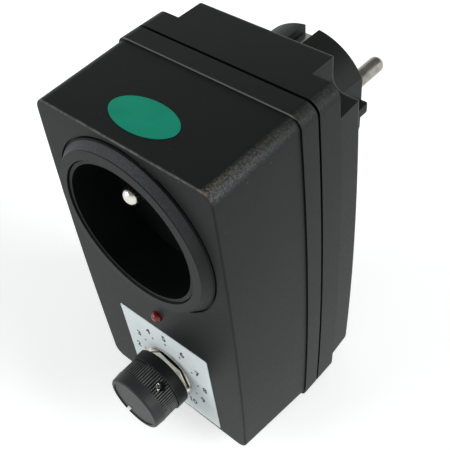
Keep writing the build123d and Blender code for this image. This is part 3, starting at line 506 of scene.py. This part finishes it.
# Finishes of the pieces inside, all of one roughness
plain_finishes = {
    "board_green": ((0.03, 0.14, 0.05), (0.02, 0.10, 0.04)),
    "board_brown": ((0.25, 0.14, 0.06), (0.18, 0.10, 0.04)),
    "ferrite": ((0.06, 0.06, 0.065), (0.04, 0.04, 0.045)),
    "component_black": ((0.02, 0.02, 0.02), (0.03, 0.03, 0.03)),
    "component_yellow": ((0.62, 0.40, 0.05), (0.55, 0.34, 0.04)),
    "component_blue": ((0.05, 0.16, 0.45), (0.04, 0.12, 0.36)),
    "resistor_tan": ((0.55, 0.38, 0.20), (0.48, 0.32, 0.16)),
    "fuse_glass": ((0.70, 0.78, 0.76), (0.62, 0.70, 0.68)),
    "wire_brown": ((0.16, 0.05, 0.02), (0.12, 0.04, 0.02)),
    "wire_black": ((0.02, 0.02, 0.02), (0.03, 0.03, 0.03)),
    "wire_blue": ((0.02, 0.08, 0.40), (0.02, 0.06, 0.30)),
}
for name, (colour, stain) in plain_finishes.items():
    finishes[name] = film(name, colour, stain, rough_low=0.35, rough_high=0.55)

# Finishes of single nodes: nickel that has aged in its own way, and the nut's nickel with a painted
# shadow line at its foot
along_pin = (1, 0.12, 1)
nut_nickel = metal("nut_nickel", (0.74, 0.71, 0.64), (0.60, 0.57, 0.49), 0.14, 0.22, foot=nut_rear)
tarnished_nickel = metal(
    "tarnished_nickel", (0.35, 0.335, 0.30), (0.235, 0.22, 0.19), 0.16, 0.28, drawn=along_pin
)
dull_nickel = metal("dull_nickel", (0.74, 0.72, 0.66), (0.50, 0.48, 0.42), 0.16, 0.30, drawn=along_pin)
own_finishes = {
    "bush_nut": nut_nickel,
    "plug_pin_left": tarnished_nickel,
    "plug_pin_right": tarnished_nickel,
    "socket_earth_pin": dull_nickel,
}
for piece in frame["record"]["subparts"]:
    node = frame["nodes"][piece["node"]]
    for place in node.material_slots:
        place.material = own_finishes.get(piece["node"], finishes[piece["material_slot"]])


# Printing on the dial label: the numbers 0 to 10 and a dot for each, all turned a little.
# A stroke is widened by number_stroke on each side, and by number_edge more at half its relief.
ink = film("ink", (0.02, 0.022, 0.025), (0.05, 0.05, 0.055), 0.5, 0.7)
scale_count = 11
scale_turn = 1.8
scale_first_angle = 240.0 + scale_turn
scale_step_angle = 30.0
number_radius = 13.75 * MM
number_size = 3.3 * MM
number_stroke = 0.07 * MM
number_edge = 0.06 * MM
print_relief = 0.015 * MM
dot_radius = 11.0 * MM
dot_size = 0.40 * MM
dot_sides = 12


def towards(angle):
    """Direction on the dial, from an angle in degrees that grows anticlockwise from the right."""
    turn = math.radians(angle)
    return Vector((math.cos(turn), 0, math.sin(turn)))


def printed(piece):
    """Give a printed piece its ink, and let it ride on the case."""
    piece.data.materials.append(ink)
    bpy.context.collection.objects.link(piece)
    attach(piece, "housing")


def print_number(number, angle):
    """Print a number upright on the dial. Its text is made thick and then flattened."""
    letters = bpy.data.curves.new(f"dial_number_{number}", "FONT")
    letters.body = str(number)
    letters.size = number_size
    letters.align_x = "CENTER"
    letters.align_y = "CENTER"
    letters.offset = number_stroke
    letters.extrude = number_edge
    letters.bevel_depth = number_edge
    letters.bevel_resolution = 0
    digits = bpy.data.objects.new(f"dial_number_{number}", letters)
    digits.location = dial_centre + number_radius * towards(angle)
    digits.rotation_euler = (math.pi / 2, -math.radians(scale_turn), 0)
    digits.scale.z = print_relief / (2 * number_edge)
    printed(digits)


def print_dots(angles):
    """Print a round dot at each angle of the dial, as one flat piece."""
    corners = []
    faces = []
    for angle in angles:
        centre = dial_centre + dot_radius * towards(angle) - Vector((0, print_relief, 0))
        first = len(corners)
        for side in range(dot_sides):
            corners.append(centre + dot_size * towards(360 * side / dot_sides))
        faces.append(list(range(first, first + dot_sides)))
    dots = bpy.data.meshes.new("dial_dots")
    dots.from_pydata(corners, [], faces)
    printed(bpy.data.objects.new("dial_dots", dots))


scale_angles = [scale_first_angle - scale_step_angle * number for number in range(scale_count)]
for number, angle in enumerate(scale_angles):
    print_number(number, angle)
print_dots(scale_angles)


# Camera, from where the photograph was taken
camera_azimuth = 46.518
camera_elevation = 46.736
camera_roll = -7.001
camera_distance = 196.816 * MM
camera_aside = 19.899 * MM
camera_above = 13.509 * MM
focal_pixels = 761.691
photo_pixels = 450
sensor_width = 36
near_limit = 1 * MM
target_height = 66.5 * MM
target = Vector((0, front, target_height))

azimuth, elevation, roll = map(math.radians, (camera_azimuth, camera_elevation, camera_roll))
backward = Vector(
    (
        math.sin(azimuth) * math.cos(elevation),
        -math.cos(azimuth) * math.cos(elevation),
        math.sin(elevation),
    )
)
level_right = (-backward).cross(Vector((0, 0, 1))).normalized()
level_up = level_right.cross(-backward)
right = level_right * math.cos(roll) + level_up * math.sin(roll)
up = -level_right * math.sin(roll) + level_up * math.cos(roll)
eye = target + right * camera_aside + up * camera_above + backward * camera_distance

camera = bpy.data.objects.new("camera", bpy.data.cameras.new("camera"))
camera.data.sensor_width = sensor_width
camera.data.lens = focal_pixels / photo_pixels * sensor_width
camera.data.clip_start = near_limit
camera.matrix_world = Matrix.Translation(eye) @ Matrix((right, up, backward)).transposed().to_4x4()
bpy.context.collection.objects.link(camera)
bpy.context.scene.camera = camera


# Floor: white paper, which shines only for the camera and for what mirrors or lets it through
half_floor = 2.0
paper_cloud_size = 30 * MM
paper_shine = 0.5
floor_mesh = bpy.data.meshes.new("floor")
floor_corners = [
    (-half_floor, -half_floor, 0),
    (half_floor, -half_floor, 0),
    (half_floor, half_floor, 0),
    (-half_floor, half_floor, 0),
]
floor_mesh.from_pydata(floor_corners, [], [(0, 1, 2, 3)])
floor = bpy.data.objects.new("floor", floor_mesh)
bpy.context.collection.objects.link(floor)
paper = Finish("paper")
paper.colour(paper.blend(paper.noise(paper_cloud_size), (0.85, 0.85, 0.85), (0.87, 0.87, 0.87)))
paper.set(Roughness=0.8, Specular_IOR_Level=0.1, Emission_Color=(1, 1, 1, 1))
rays = paper.nodes.new("ShaderNodeLightPath")
seen = rays.outputs["Is Camera Ray"]
for ray in ("Is Glossy Ray", "Is Transmission Ray"):
    either = paper.nodes.new("ShaderNodeMath")
    either.operation = "MAXIMUM"
    paper.links.new(seen, either.inputs[0])
    paper.links.new(rays.outputs[ray], either.inputs[1])
    seen = either.outputs["Value"]
shine = paper.share(seen, none=0, full=1, most=paper_shine)
paper.links.new(shine, paper.shader.inputs["Emission Strength"])
floor_mesh.materials.append(paper.material)

# Surroundings: white walls under a dim ceiling. The heights are those of a direction of length 1.
wall_top = 0.25
ceiling_edge = 0.6
wall_strength = 1.0
ceiling_strength = 0.25
world = bpy.data.worlds.new("studio")
bpy.context.scene.world = world
world.use_nodes = True
nodes = world.node_tree.nodes
links = world.node_tree.links
direction = nodes.new("ShaderNodeTexCoord")
split = nodes.new("ShaderNodeSeparateXYZ")
links.new(direction.outputs["Generated"], split.inputs["Vector"])
height = nodes.new("ShaderNodeMapRange")
height.interpolation_type = "SMOOTHSTEP"
for name, number in (
    ("From Min", wall_top),
    ("From Max", ceiling_edge),
    ("To Min", wall_strength),
    ("To Max", ceiling_strength),
):
    height.inputs[name].default_value = number
links.new(split.outputs["Z"], height.inputs["Value"])
links.new(height.outputs["Result"], nodes["Background"].inputs["Strength"])
nodes["Background"].inputs["Color"].default_value = (0.97, 0.99, 1.0, 1)


# Lamps: how wide a part of the sky each fills, in degrees
sun_spread = 30


def sun(name, source, strength):
    """Broad light that comes from one direction."""
    data = bpy.data.lights.new(name, "SUN")
    data.energy = strength
    data.angle = math.radians(sun_spread)
    light = bpy.data.objects.new(name, data)
    light.rotation_euler = Vector(source).to_track_quat("Z", "Y").to_euler()
    bpy.context.collection.objects.link(light)


sun("side_light", source=(0.86, 0.30, 0.40), strength=1.9)
sun("front_light", source=(-0.52, -0.77, 0.36), strength=1.0)

bpy.context.scene.view_settings.view_transform = "Standard"
